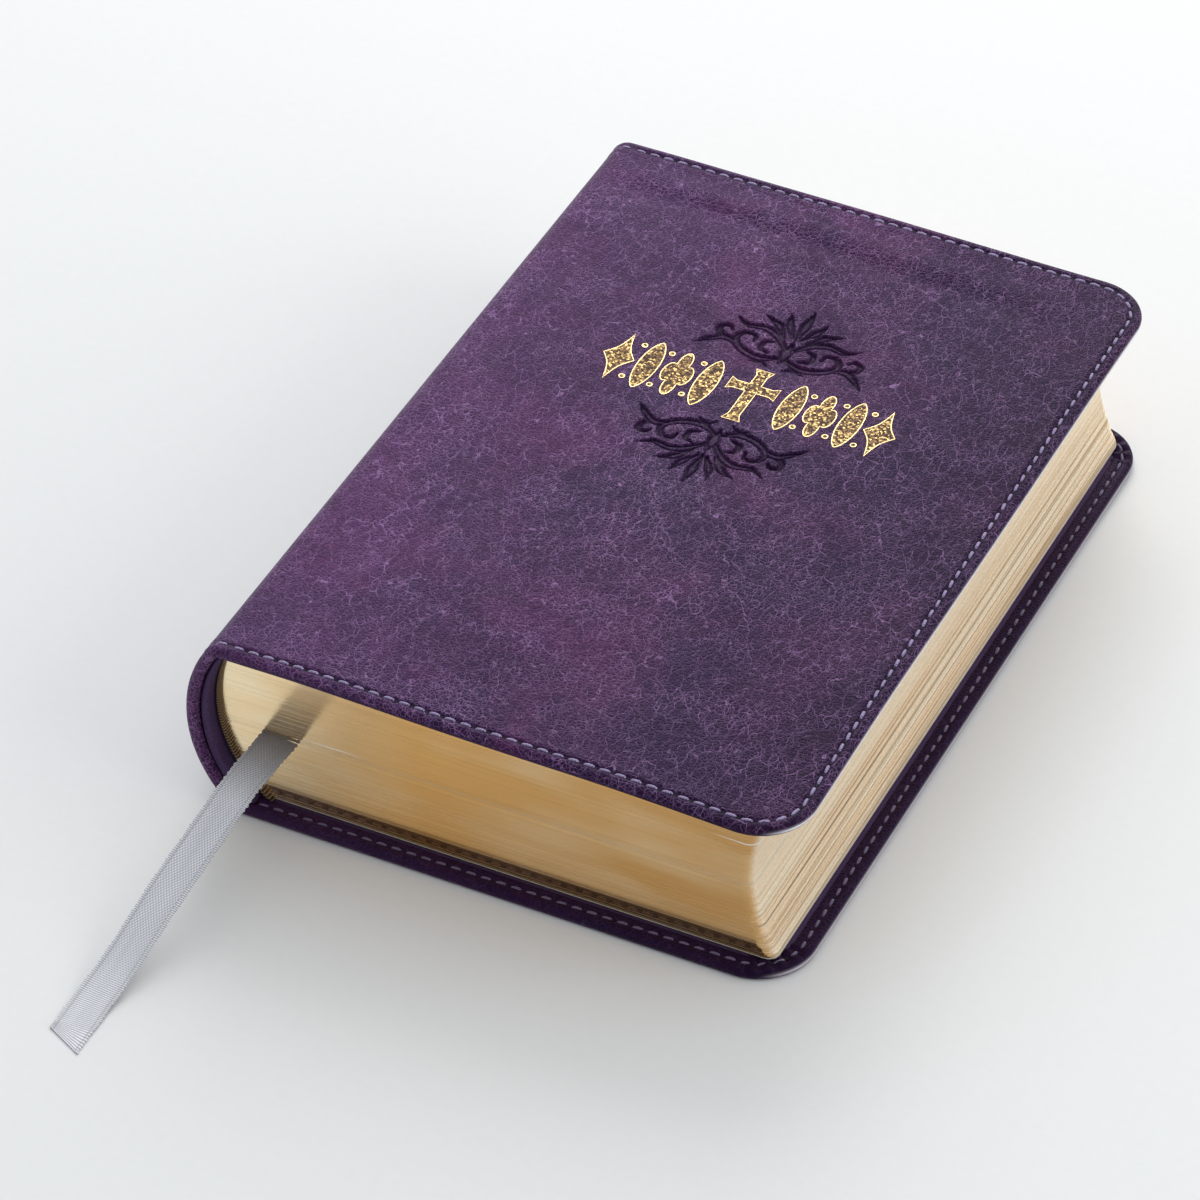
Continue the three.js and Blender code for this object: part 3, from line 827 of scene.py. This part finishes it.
def front_height(x, y, inset):
    """The front cover's outer face: a pressed groove for the stitches, the ornament and soft creases."""
    groove = -0.30 * np.exp(-((inset - STITCH_INSET) / 0.50) ** 2) * smoothstep(-50, -47, x)
    puff = 0.10 * np.exp(-((inset - 1.25) / 0.35) ** 2) + 0.08 * np.exp(-((inset - 3.4) / 0.8) ** 2)
    edge = -0.05 * smoothstep(1.25, EDGE_ROUND, inset)
    crease_y = y - CREASE_Y + 0.03 * x
    crease = -0.62 * np.exp(-(crease_y / 2.4) ** 2) + 0.30 * np.exp(-((crease_y - 4.8) / 2.6) ** 2)
    crease *= smoothstep(58, 20, x) * smoothstep(-54, -40, x)
    pressed_and_shade = -PRESSED_DEPTH * pressed_depth(x, y)
    return groove + puff + edge + crease + pressed_and_shade


def flat_height(x, y, inset):
    """The plain outer face of the back cover and of the spine."""
    return np.zeros_like(x)


def along_rows(fine_low, fine_high):
    """Rows from the tail to the head: close together at the edges, at the corners and over the ornament."""
    edge = HALF_HEIGHT - EDGE_ROUND
    return spaced((-edge, 1), (-edge + EDGE_BAND, 0.24), (-HALF_HEIGHT + COVER_CORNER, 0.6), (fine_low, 1.5),
                  (fine_high, 0.22), (HALF_HEIGHT - COVER_CORNER, 1.1), (edge - EDGE_BAND, 0.6), (edge, 0.24))


def across_columns(section, fine_low, fine_high, z, normal_z):
    """Columns from the spine to the fore edge, after those of the spine's own section."""
    edge = FORE_X - EDGE_ROUND
    flat = spaced((section[-1, 0], 1), (fine_low, 1.4), (fine_high, 0.22), (FORE_X - COVER_CORNER, 1.3),
                  (edge - EDGE_BAND, 0.6), (edge, 0.24))[1:]
    return np.vstack([section, [(x, z, 0, normal_z) for x in flat]])


def make_front_cover():
    section = SECTION[:TOP_SEAM + 1][::-1]
    columns = across_columns(section, -15, 21, FRONT_TOP_Z, 1)
    rows = along_rows(-7, 51)
    points, faces = leather_sheet(columns, rows, True, front_height)
    pressed_and_shade = pressed_depth(points[:, 0], points[:, 1])
    depth = FRONT_TOP_Z - points[:, 2]
    # Painted shade: the turned-in edge and underside, and the stitch groove, are darkened through the same
    # attribute as the stamped ornament.
    turned_in = smoothstep(0.7, 1.7, depth) * (points[:, 0] > -48)
    pressed_and_shade = np.where(depth < 0.9, pressed_and_shade, 0)
    inset = np.minimum(FORE_X - points[:, 0], HALF_HEIGHT - np.abs(points[:, 1]))
    groove = 0.85 * np.exp(-((inset - STITCH_INSET) / 0.5) ** 2) * (points[:, 0] > -52) * (depth < 0.9)
    piece = make_mesh("front_leather", warped(points), faces, LEATHER)
    add_attribute(piece, "pressed_and_shade", np.maximum(np.maximum(pressed_and_shade, groove), 0.5 * turned_in))
    # Painted highlight along the front cover's fore-edge rim.
    add_attribute(piece, "painted_rim_highlight", painted_rim_highlight(points, FRONT_TOP_Z - 1.5))
    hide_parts("front_cover_leather")
    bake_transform(piece)


def make_back_cover():
    section = SECTION[BOTTOM_SEAM:]
    columns = across_columns(section, 30, 31, BACK_LOW[2], -1)
    rows = along_rows(0, 1)
    points, faces = leather_sheet(columns, rows, True, flat_height)
    piece = make_mesh("back_leather", points, turned_over(faces), LEATHER)
    # Painted shade over the whole inside face of the back cover, deepest in the fold valleys at the corners.
    inside = smoothstep(0.3, 1.3, points[:, 2] - BACK_LOW[2])
    add_attribute(piece, "pressed_and_shade", (0.66 + 0.3 * fold_shade(points)) * inside)
    # A weaker painted highlight along the back cover's fore-edge rim.
    add_attribute(piece, "painted_rim_highlight", 0.6 * painted_rim_highlight(points, BACK_LOW[2] + 0.9))
    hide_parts("back_cover_leather")
    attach(piece, "rear_half")


def make_spine_leather():
    columns = SECTION[TOP_SEAM:BOTTOM_SEAM + 1][::-1]
    rows = along_rows(0, 1)
    points, faces = leather_sheet(columns, rows, False, flat_height)
    piece = make_mesh("spine_leather", warped(points), faces, LEATHER)
    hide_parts("spine_leather_rear", "spine_leather_front")
    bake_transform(piece)


make_front_cover()
make_back_cover()
make_spine_leather()


# ---- stitching ----
def stitch_line(start_x):
    """Evenly spaced places along the stitch line: x, y and the direction along it."""
    radius = COVER_CORNER - STITCH_INSET
    centre_x, centre_y = FORE_X - COVER_CORNER, HALF_HEIGHT - COVER_CORNER
    straight = centre_x - start_x
    quarter = radius * math.pi / 2
    total = 2 * straight + 2 * quarter + 2 * centre_y
    count = round(total / STITCH_PITCH)
    places = []

    def at_corner(angle, side):
        right, up = math.cos(angle), math.sin(angle)
        places.append((centre_x + radius * right, side * centre_y + radius * up, -up, right))

    for s in (np.arange(count) + 0.5) * total / count:
        if s < straight:
            places.append((start_x + s, -centre_y - radius, 1, 0))
        elif s < straight + quarter:
            at_corner((s - straight) / radius - math.pi / 2, -1)
        elif s < straight + quarter + 2 * centre_y:
            places.append((centre_x + radius, -centre_y + s - straight - quarter, 0, 1))
        elif s < total - straight:
            at_corner((s - straight - quarter - 2 * centre_y) / radius, 1)
        else:
            places.append((centre_x - (s - total + straight), centre_y + radius, -1, 0))
    return places


def thread_stitches(face_z, normal_z, start_x):
    """One bead of thread for each stitch, its ends sinking into the leather."""
    length, radius, around = 2.3, 0.27, 8
    bead = np.linspace(-0.5, 0.5, 9)
    rng = np.random.default_rng(7)
    points, faces = [], []
    for x, y, tx, ty in stitch_line(start_x):
        tilt = math.radians(5 + rng.normal(0, 1.5))
        dx = tx * math.cos(tilt) - ty * math.sin(tilt)
        dy = tx * math.sin(tilt) + ty * math.cos(tilt)
        first = len(points)
        swell = radius * (1 + rng.normal(0, 0.05))
        for t in bead:
            sink = 0.34 * abs(2 * t) ** 3
            thick = swell * (1 - 0.45 * abs(2 * t) ** 4)
            for k in range(around):
                a = 2 * math.pi * k / around + t * 2.5
                off, up = thick * 1.15 * math.cos(a), thick * math.sin(a)
                points.append((x + dx * t * length - dy * off, y + dy * t * length + dx * off,
                               face_z + normal_z * (up - sink)))
        faces += ring_faces(first, around, len(bead))
    return points, faces if normal_z > 0 else turned_over(faces)


def needle_holes(face_z, normal_z, start_x):
    """A small hollow between each two stitches, coloured near-black as painted shade."""
    half_length, half_width, around = 0.62, 0.42, 10
    rings = ((1.0, 0.02), (0.55, -0.10))
    points, faces = [], []
    places = stitch_line(start_x)
    for (ax, ay, atx, aty), (bx, by, btx, bty) in zip(places, places[1:]):
        x, y = (ax + bx) / 2, (ay + by) / 2
        tx, ty = atx + btx, aty + bty
        size = math.hypot(tx, ty)
        tx, ty = tx / size, ty / size
        first = len(points)
        for reach, depth in rings:
            for k in range(around):
                a = 2 * math.pi * k / around
                u, v = half_length * reach * math.cos(a), half_width * reach * math.sin(a)
                points.append((x + tx * u - ty * v, y + ty * u + tx * v, face_z + normal_z * depth))
        faces += ring_faces(first, around, len(rings))
    return points, faces if normal_z > 0 else turned_over(faces)


def as_is(points):
    return points


def make_stitching():
    """Each line of stitches lies in its groove, with the needle holes between the stitches."""
    start_x = -53.0
    # name, body, height of the thread and of the holes, way it faces, its shape, material, CAD node
    lines = [("front_stitches", "front_cover", FRONT_TOP_Z - 0.16, FRONT_TOP_Z - 0.27, 1,
              warped, THREAD, "front_cover_stitching"),
             ("front_stitches_inside", "front_cover", FRONT_TOP_Z - 2.12, FRONT_TOP_Z - 2.04, -1,
              warped, THREAD, None),
             ("back_stitches", "rear_half", BACK_HIGH[2] - 0.19, BACK_HIGH[2] - 0.26, 1,
              as_is, SHADED_THREAD, "back_cover_stitching")]
    for name, body, thread_z, hole_z, way, shaped, material, node in lines:
        points, faces = thread_stitches(thread_z, way, start_x)
        piece = make_mesh(name, shaped(points), faces, material)
        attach(piece, body)
        if node:
            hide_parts(node)
        points, faces = needle_holes(hole_z, way, start_x)
        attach(make_mesh(name + "_holes", shaped(points), faces, HOLE_SHADE), body)


make_stitching()


# ---- text block ----
HOLLOW_MID_Z = 21.3
HOLLOW_REACH_Z = 18.3
HOLLOW_DEPTH = 4.6


def page_outline(back_x, fore_x, half):
    """One leaf's outline, anticlockwise from the back at the tail, with round fore-edge corners."""
    radius = PAGE_CORNER
    along = np.linspace(back_x, fore_x - radius, 15)
    up = np.linspace(radius - half, half - radius, 19)
    tail = [(x, -half) for x in along[:-1]]
    turn = np.linspace(-math.pi / 2, 0, 9)
    centre_x = fore_x - radius
    lower = [(centre_x + radius * math.cos(a), radius - half + radius * math.sin(a)) for a in turn]
    fore = [(fore_x, y) for y in up[1:-1]]
    turn = turn + math.pi / 2
    upper = [(centre_x + radius * math.cos(a), half - radius + radius * math.sin(a)) for a in turn]
    head = [(x, half) for x in along[::-1][1:]]
    spine = [(back_x, y) for y in np.linspace(half, -half, 15)[1:-1]]
    return np.array(tail + lower + fore + upper + head + spine)


def fore_x_at(z):
    """The hollow fore edge: it answers the round of the spine."""
    share = (z - HOLLOW_MID_Z) / HOLLOW_REACH_Z
    return PAGE_FORE_X - HOLLOW_DEPTH * (1 - np.minimum(share ** 2, 1))


RIBBON_BED_Z = RIBBON_EXIT[2] - 0.01
LEAF_PITCH = 0.22
LEAF_GAP = 0.02
LEAF_STACK_Z = RIBBON_BED_Z + 0.03
STACK_TOP_Z = LEAF_STACK_Z + LEAF_PITCH * len(LEAVES)
LOOSE_PAGE_Z = 29.2
RIBBON_SEAM_X = -31
GROUP_THICKNESS = 0.28
GROUP_GAP = 0.015


def make_pages(name, rings):
    """Pages between stacked outlines: gilt at the edges, paper on the two outer faces."""
    faces = ring_faces(0, len(rings[0]), len(rings))
    piece = make_mesh(name, warped(np.concatenate(rings)), faces, GILT, smooth=False)
    piece.data.materials.append(PAPER)
    for polygon in (piece.data.polygons[-1], piece.data.polygons[-2]):
        polygon.material_index = 1
    return piece


def make_block(name, body, low_z, high_z, numbers, seed):
    """Half of the text block: many thin groups of leaves, each a hair longer or shorter than the next."""
    rng = np.random.default_rng(seed)
    count = round((high_z - low_z) / GROUP_THICKNESS)
    edges = np.linspace(low_z, high_z, count + 1)
    points, bare = [], []
    drift = 0.0
    for low, high in zip(edges, edges[1:]):
        lower_part = float(smoothstep(16, 6, low))
        drift = 0.7 * drift + rng.normal(0, 0.004 + 0.05 * lower_part)
        ridge = -0.34 * lower_part * ((low / 1.05) % 1.0) ** 3
        step = drift + ridge + rng.normal(0, 0.004 + 0.03 * lower_part)
        half = PAGE_HALF_HEIGHT + rng.normal(0, 0.010)
        for z in (low + GROUP_GAP, high - GROUP_GAP):
            ring = page_outline(arc_x(BLOCK_ARC, z), fore_x_at(z) + step, half)
            points.append(np.column_stack([ring, np.full(len(ring), z)]))
            at_corner = smoothstep(42, 50, ring[:, 0]) * smoothstep(-62, -72, ring[:, 1])
            loose = at_corner * (low <= LOOSE_PAGE_Z < high)
            at_seam = (np.abs(ring[:, 0] - RIBBON_SEAM_X) < 6) * (ring[:, 1] < 0)
            seam = 0.8 * at_seam * (low <= STACK_TOP_Z + 0.05 < high)
            bare.append(np.maximum(loose, seam))
    piece = make_pages(name, points)
    add_attribute(piece, "bare", np.concatenate(bare))
    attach(piece, body)
    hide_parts(*[f"signature_{i:02d}" for i in numbers])


def make_leaf(node, body, low_z=None):
    """A single leaf that follows the book's own shape, gilt at its edges."""
    low, high = corners(node)
    if low_z is not None:
        low[2], high[2] = low_z, low_z + LEAF_PITCH - LEAF_GAP
    middle = (low[2] + high[2]) / 2
    ring = page_outline(low[0] + 0.8, fore_x_at(middle) - 0.05, high[1] - 0.03)
    rings = [np.column_stack([ring, np.full(len(ring), z)]) for z in (low[2], high[2])]
    piece = make_pages(node + "_sheet", rings)
    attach(piece, body)
    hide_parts(node)


make_block("text_block_front", "front_half", STACK_TOP_Z, FIRST_HIGH[2], range(1, 9), 11)
make_block("text_block_rear", "rear_half", LAST_LOW[2], RIBBON_BED_Z, range(9, 17), 23)
make_leaf("front_flyleaf", "front_flyleaf")
make_leaf("back_flyleaf", "rear_half")
for place, leaf in enumerate(LEAVES[::-1]):
    make_leaf(leaf, leaf, LEAF_STACK_Z + LEAF_PITCH * place)


# ---- inside of the spine ----
def arc_strip(name, outer, inner, low_z, high_z, low_y, high_y, material, edge):
    """A curved strip between two arcs, with its end edges rounded over by edge."""
    heights = np.linspace(low_z, high_z, 34)
    profile = [(low_y + edge * (1 - math.cos(a)), edge * 0.5 * (1 - math.sin(a)))
               for a in np.linspace(0, math.pi / 2, 5)]
    profile += [(low_y + high_y - y, s) for y, s in profile[::-1]]
    points = []
    for z in heights:
        left, right = arc_x(outer, z), arc_x(inner, z)
        for y, shrink in profile:
            points.append((left + shrink, y, z))
        for y, shrink in profile[::-1]:
            points.append((right - shrink, y, z))
    faces = turned_over(ring_faces(0, 2 * len(profile), len(heights)))
    return make_mesh(name, warped(points), faces, material)


def make_spine_inside():
    low_z, high_z = LAST_LOW[2] - 0.2, FIRST_HIGH[2] + 0.2
    reach = corners("spine_lining_rear")[1][1]
    lining = arc_strip("spine_lining", LINING_ARC, LINING_INNER_ARC, low_z, high_z, -reach, reach,
                       LINING, 0.8)
    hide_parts("spine_lining_rear", "spine_lining_front")
    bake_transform(lining)
    band_low, band_high = corners("tail_band_rear")[0][1], corners("tail_band_rear")[1][1]
    for name, low_y, high_y in (("tail", band_low, band_high), ("head", -band_high, -band_low)):
        band = arc_strip(name + "_band", BAND_ARC, BLOCK_ARC, low_z, high_z, low_y, high_y,
                         BAND, 0.3)
        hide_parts(f"{name}_band_rear", f"{name}_band_front")
        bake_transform(band)


LINING_INSET = 3.9
LINING_STEP = 3.0


def make_front_lining():
    """The front cover's lining, bent with its cover. It also stands in for the hidden stiffener."""
    low, high = corners("front_cover_lining")
    xs, ys = (spaced((low[i], 1), (high[i], LINING_STEP)) for i in (0, 1))
    x, y = np.meshgrid(xs, ys)
    x, y, _, _ = round_corners(x, y, COVER_CORNER - LINING_INSET, high[0], high[1])
    sheets = [np.stack([x, y, np.full_like(x, z)], -1).reshape(-1, 3) for z in (low[2], high[2])]
    count = x.size
    faces = turned_over(quads(len(ys), len(xs))) + quads(len(ys), len(xs), count)
    number = np.arange(count).reshape(x.shape)
    border = [*number[0], *number[1:, -1], *number[-1, -2::-1], *number[-2:0:-1, 0]]
    for a, b in zip(border, border[1:] + border[:1]):
        faces.append((a, b, b + count, a + count))
    piece = make_mesh("front_lining_sheet", warped(np.concatenate(sheets)), faces, LINING)
    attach(piece, "front_cover")
    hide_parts("front_cover_lining", "front_cover_stiffener")


make_spine_inside()
make_front_lining()


# ---- foil ornament ----
def foil_plaques(outlines):
    """Thin foil shapes with a low bevel, as one mesh. The outline attribute marks their rims."""
    bevel = ((0.0, -0.12, 1), (0.07, 0.06, 1), (0.24, 0.06, 1), (0.34, 0.03, 0))  # inset, height, rim
    points, faces, rim = [], [], []
    for outline in outlines:
        ring = np.array(outline, float)
        ahead = np.roll(ring, -1, axis=0) - ring
        behind = ring - np.roll(ring, 1, axis=0)
        course = ahead / np.hypot(*ahead.T)[:, None] + behind / np.hypot(*behind.T)[:, None]
        normal = np.stack([-course[:, 1], course[:, 0]], -1)
        normal /= np.maximum(np.hypot(*normal.T), 0.6)[:, None]
        faces += ring_faces(len(points), len(ring), len(bevel))
        for inset, z, mark in bevel:
            for p in ring + normal * inset:
                points.append((p[0], p[1], FRONT_TOP_Z + z))
                rim.append(mark)
    return points, faces, rim


def lozenge(x, width, height):
    """A four-pointed lozenge with hollow sides."""
    tips = [(x + width / 2, TITLE_Y), (x, TITLE_Y + height / 2),
            (x - width / 2, TITLE_Y), (x, TITLE_Y - height / 2)]
    outline = []
    for (ax, ay), (bx, by) in zip(tips, tips[1:] + tips[:1]):
        for t in np.linspace(0, 1, 7)[:-1]:
            pull = 0.22 * math.sin(math.pi * t)
            outline.append((ax + (bx - ax) * t + (x - ax - (bx - ax) * t) * pull,
                            ay + (by - ay) * t + (TITLE_Y - ay - (by - ay) * t) * pull))
    return outline


def spindle(x, width, height):
    """An upright almond shape."""
    turn = np.linspace(-math.pi / 2, math.pi / 2, 12)
    right = [(x + width / 2 * math.cos(a) ** 1.25, TITLE_Y + height / 2 * math.sin(a)) for a in turn]
    return right + [(2 * x - px, py) for px, py in right[::-1][1:-1]]


def quatrefoil(x, width, height):
    """Four round lobes."""
    turn = np.linspace(0, 2 * math.pi, 49)[:-1]
    reach = 0.58 + 0.42 * np.abs(np.cos(2 * turn)) ** 0.8
    return [(x + width / 2 * r * math.cos(a), TITLE_Y + height / 2 * r * math.sin(a))
            for a, r in zip(turn, reach)]


def dot(x, y, radius):
    turn = np.linspace(0, 2 * math.pi, 15)[:-1]
    return [(x + radius * math.cos(a), y + radius * math.sin(a)) for a in turn]


def latin_cross(x, top, arm, half, flare):
    """A Latin cross with flared ends."""
    bar = TITLE_Y + top - 2 * arm * 0.58
    neck, foot = arm - 1.3, top - 1.8
    right = [(half + flare, TITLE_Y - top), (half, TITLE_Y - foot), (half, bar - half), (neck, bar - half),
             (arm, bar - half - flare), (arm, bar + half + flare), (neck, bar + half), (half, bar + half),
             (half, TITLE_Y + foot), (half + flare, TITLE_Y + top)]
    return [(x + px, py) for px, py in right] + [(x - px, py) for px, py in right[::-1]]


def make_foil():
    low, high = corners("foil_cross")
    centre = (low[0] + high[0]) / 2
    top = (high[1] - low[1]) / 2
    sides = []
    for way in (-1, 1):
        shapes = [spindle(centre + way * 8.6, 4.4, 14.6), quatrefoil(centre + way * 14.6, 6.2, 13.4),
                  spindle(centre + way * 20.6, 4.4, 14.6), lozenge(centre + way * 26.6, 6.6, 14.6)]
        for step in (11.3, 17.9, 23.6):
            for rise_of_dot in (-5.0, 5.0):
                shapes.append(dot(centre + way * step, TITLE_Y + rise_of_dot, 0.7))
        sides.append(shapes)
    groups = (("foil_cross_stamped", [latin_cross(centre, top, 5.0, 1.25, 0.7)], "foil_cross"),
              ("foil_left_stamped", sides[0], "foil_bar_left"),
              ("foil_right_stamped", sides[1], "foil_bar_right"))
    for name, outlines, node in groups:
        points, faces, rim = foil_plaques(outlines)
        piece = make_mesh(name, warped(points), faces, FOIL, smooth=False)
        add_attribute(piece, "outline", rim)
        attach(piece, "front_cover")
        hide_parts(node)


make_foil()


# ---- CAD nodes that stay ----
def repaint(material, slot, *names):
    for name in names:
        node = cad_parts[name]
        node.data.materials.clear()
        node.data.materials.append(material)


repaint(LINING, "inner_lining", "back_cover_lining")
repaint(BOARD, "stiffener_board", "back_cover_stiffener")
repaint(MULL, "mull", "spine_mull_rear", "spine_mull_front")


# ---- floor and light ----
def make_stage():
    size = 3.0
    mesh = bpy.data.meshes.new("floor")
    square = [(-size, -size, 0), (size, -size, 0), (size, size, 0), (-size, size, 0)]
    mesh.from_pydata(square, [], [(0, 1, 2, 3)])
    floor = bpy.data.objects.new("floor", mesh)
    bpy.context.scene.collection.objects.link(floor)
    n = Nodes("pale_floor")
    weave = n.noise(n.object_mm, 0.5)
    mesh.materials.append(n.finish(n.mix(weave, (0.80, 0.81, 0.81), (0.83, 0.84, 0.84)), 0.9))


def area_light(name, place, target, size, power, colour):
    data = bpy.data.lights.new(name, "AREA")
    data.shape = "RECTANGLE"
    data.size, data.size_y = size
    data.energy = power
    data.color = colour
    light = bpy.data.objects.new(name, data)
    light.location = place
    light.rotation_euler = (Vector(target) - Vector(place)).to_track_quat("-Z", "Y").to_euler()
    bpy.context.scene.collection.objects.link(light)


BRIGHT_SIDE = (-0.48, 0.80, 0.36)  # the way to the brightest part of the surroundings
WARM_WHITE = (1.0, 0.99, 0.97)


def make_light():
    """Surroundings that are brighter behind and to the left, and two windows."""
    bpy.context.scene.view_settings.view_transform = "Standard"
    world = bpy.data.worlds.new("studio")
    world.use_nodes = True
    tree = world.node_tree
    background = tree.nodes["Background"]
    background.inputs["Color"].default_value = (0.95, 0.975, 1.0, 1)
    place = tree.nodes.new("ShaderNodeTexCoord")
    facing = tree.nodes.new("ShaderNodeVectorMath")
    facing.operation = "DOT_PRODUCT"
    facing.inputs[1].default_value = BRIGHT_SIDE
    strength = tree.nodes.new("ShaderNodeMapRange")
    for key, value in (("From Min", -0.7), ("From Max", 1.0), ("To Min", 0.36), ("To Max", 1.04)):
        strength.inputs[key].default_value = value
    tree.links.new(place.outputs["Generated"], facing.inputs[0])
    tree.links.new(facing.outputs["Value"], strength.inputs["Value"])
    tree.links.new(strength.outputs["Result"], background.inputs["Strength"])
    bpy.context.scene.world = world
    area_light("window", (-0.3, 0.75, 0.6), (0, 0.05, 0), (0.6, 0.6), 4.6, WARM_WHITE)
    area_light("side_window", (0.85, 0.05, 0.45), (0, 0, 0), (0.9, 0.6), 2.8, WARM_WHITE)


make_stage()
make_light()
